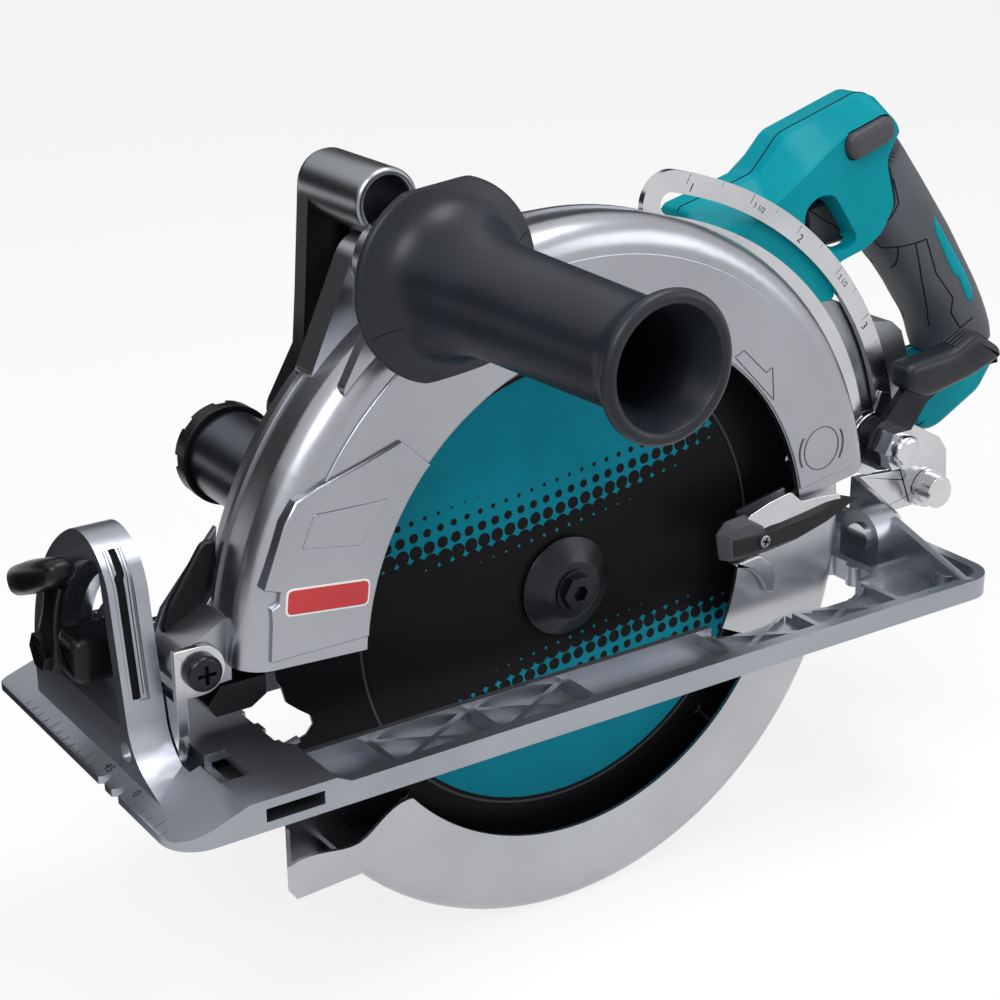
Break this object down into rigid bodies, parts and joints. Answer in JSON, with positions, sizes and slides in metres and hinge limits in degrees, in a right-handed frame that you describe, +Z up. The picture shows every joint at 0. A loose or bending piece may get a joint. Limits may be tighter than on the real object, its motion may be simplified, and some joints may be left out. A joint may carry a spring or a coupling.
{
  "type": "rear handle circular saw",
  "caption": "Hand-held rear handle circular saw with a bevelling, depth-adjusting base, upper and swinging lower guards, side grip, brushless motor and a slide-on battery dock.",
  "frame": {"origin": "on the sole plane of the base, in the blade's middle plane, under the arbor", "axes": "+X towards the front of the saw, +Y out of the blade side, +Z up from the sole"},
  "size_m": [0.476, 0.293, 0.3153],
  "materials": {
    "cast_magnesium": "satin cast",
    "zinc_steel": "zinc plated",
    "chrome_steel": "polished",
    "sleeve_aluminium": "satin",
    "blade_steel": "printed coating",
    "carbide": "ground",
    "black_steel": "black oxide",
    "bright_steel": "ground",
    "gear_steel": "machined",
    "copper_winding": "enamelled wire",
    "black_plastic": "moulded",
    "grip_rubber": "soft moulded",
    "teal_plastic": "moulded",
    "grey_plastic": "moulded",
    "circuit_board": "laminate"
  },
  "bodies": {
    "base": {"base_shoe": "cast_magnesium", "bevel_pins": "zinc_steel"},
    "bevel_stop": {"bevel_stop_knob": "black_plastic"},
    "bevel_frame": {"front_bevel_bracket": "zinc_steel", "rear_bevel_bracket": "zinc_steel", "depth_pivot_screw": "black_steel", "depth_pivot_nut": "zinc_steel", "bevel_clamp_bolt": "zinc_steel", "bevel_clamp_nut": "zinc_steel", "guide_pin": "zinc_steel"},
    "bevel_clamp": {"bevel_lever": "black_plastic"},
    "guide": {"depth_guide": "zinc_steel"},
    "saw_body": {"blade_case": "cast_magnesium", "case_back": "cast_magnesium", "front_deflector": "black_plastic", "bearing_box": "cast_magnesium", "spindle_bearings": "bright_steel", "guard_ring": "black_steel", "guard_spring": "bright_steel", "gear_housing": "cast_magnesium", "motor_housing": "teal_plastic", "motor_end_cover": "black_plastic", "stator_core": "gear_steel", "stator_windings": "copper_winding", "motor_bearings": "bright_steel", "dust_port": "sleeve_aluminium", "dust_port_ring": "black_plastic", "top_sleeve": "sleeve_aluminium", "rear_arm": "black_plastic", "grip_stud": "zinc_steel", "side_grip": "grip_rubber", "handle_left": "teal_plastic", "handle_right": "teal_plastic", "rear_grip_rubber": "grip_rubber", "switch_unit": "black_plastic", "handle_screws": "black_steel", "battery_dock": "teal_plastic", "terminal_block": "black_plastic", "controller_board": "circuit_board", "depth_pointer": "zinc_steel", "depth_clamp_bolt": "chrome_steel", "depth_clamp_nut": "chrome_steel"},
    "depth_clamp": {"depth_lever": "zinc_steel", "depth_lever_grip": "grip_rubber"},
    "blade_set": {"blade": "blade_steel", "carbide_tips": "carbide", "inner_flange": "black_steel", "outer_flange": "black_steel", "blade_bolt": "black_steel", "spindle": "bright_steel", "drive_gear": "gear_steel"},
    "rotor": {"rotor_shaft": "bright_steel", "rotor_core": "gear_steel", "cooling_fan": "black_plastic"},
    "guard": {"lower_guard": "cast_magnesium", "guard_lever": "black_plastic", "lever_screw": "black_steel"},
    "trigger_body": {"trigger": "grey_plastic"},
    "lock_off": {"lock_off_button": "grey_plastic"},
    "shaft_lock_body": {"shaft_lock": "black_plastic"}
  },
  "joints": [
    {"name": "bevel", "type": "hinge", "parent": "base", "child": "bevel_frame", "pos_m": [0, -0.006, 0.014], "axis": [-1, 0, 0], "range_deg": [0, 45]},
    {"name": "bevel_stop_turn", "type": "hinge", "parent": "base", "child": "bevel_stop", "pos_m": [0.183, -0.0325, 0.043], "axis": [1, 0, 0], "range_deg": [0, 90]},
    {"name": "bevel_clamp_turn", "type": "hinge", "parent": "bevel_frame", "child": "bevel_clamp", "pos_m": [0.185, -0.06273, 0.03353], "axis": [1, 0, 0], "range_deg": [0, 60]},
    {"name": "depth", "type": "hinge", "parent": "bevel_frame", "child": "saw_body", "pos_m": [0.1603, 0, 0.0435], "axis": [0, 1, 0], "range_deg": [0, 28]},
    {"name": "guide_swing", "type": "hinge", "parent": "bevel_frame", "child": "guide", "pos_m": [-0.222, -0.024, 0.02], "axis": [0, 1, 0], "range_deg": [-21.5, 0.5]},
    {"name": "depth_clamp_turn", "type": "hinge", "parent": "saw_body", "child": "depth_clamp", "pos_m": [-0.186, -0.016, 0.051], "axis": [0, 1, 0], "range_deg": [0, 45]},
    {"name": "blade_spin", "type": "hinge", "parent": "saw_body", "child": "blade_set", "pos_m": [0, 0, 0.035], "axis": [0, -1, 0], "continuous": true},
    {"name": "rotor_spin", "type": "hinge", "parent": "saw_body", "child": "rotor", "pos_m": [-0.0076, -0.08, 0.06337], "axis": [0, -1, 0], "continuous": true},
    {"name": "guard_swing", "type": "hinge", "parent": "saw_body", "child": "guard", "pos_m": [0, 0, 0.035], "axis": [0, 1, 0], "range_deg": [0, 125], "stiffness_Nm_per_rad": 0.5, "springref_deg": -68.75},
    {"name": "trigger_pull", "type": "slide", "parent": "saw_body", "child": "trigger_body", "axis": [0, 0, 1], "range_m": [0, 0.005], "stiffness_N_per_m": 800, "springref_m": -0.002},
    {"name": "lock_off_press", "type": "slide", "parent": "saw_body", "child": "lock_off", "axis": [0, -1, 0], "range_m": [0, 0.004], "stiffness_N_per_m": 700, "springref_m": -0.001},
    {"name": "shaft_lock_press", "type": "slide", "parent": "saw_body", "child": "shaft_lock_body", "axis": [0, 1, 0], "range_m": [0, 0.004], "stiffness_N_per_m": 700, "springref_m": -0.001}
  ],
  "couplings": [
    {"joint": "guide_swing", "follows": "depth", "ratio": -0.75},
    {"joint": "rotor_spin", "follows": "blade_spin", "ratio": -4.2222}
  ]
}
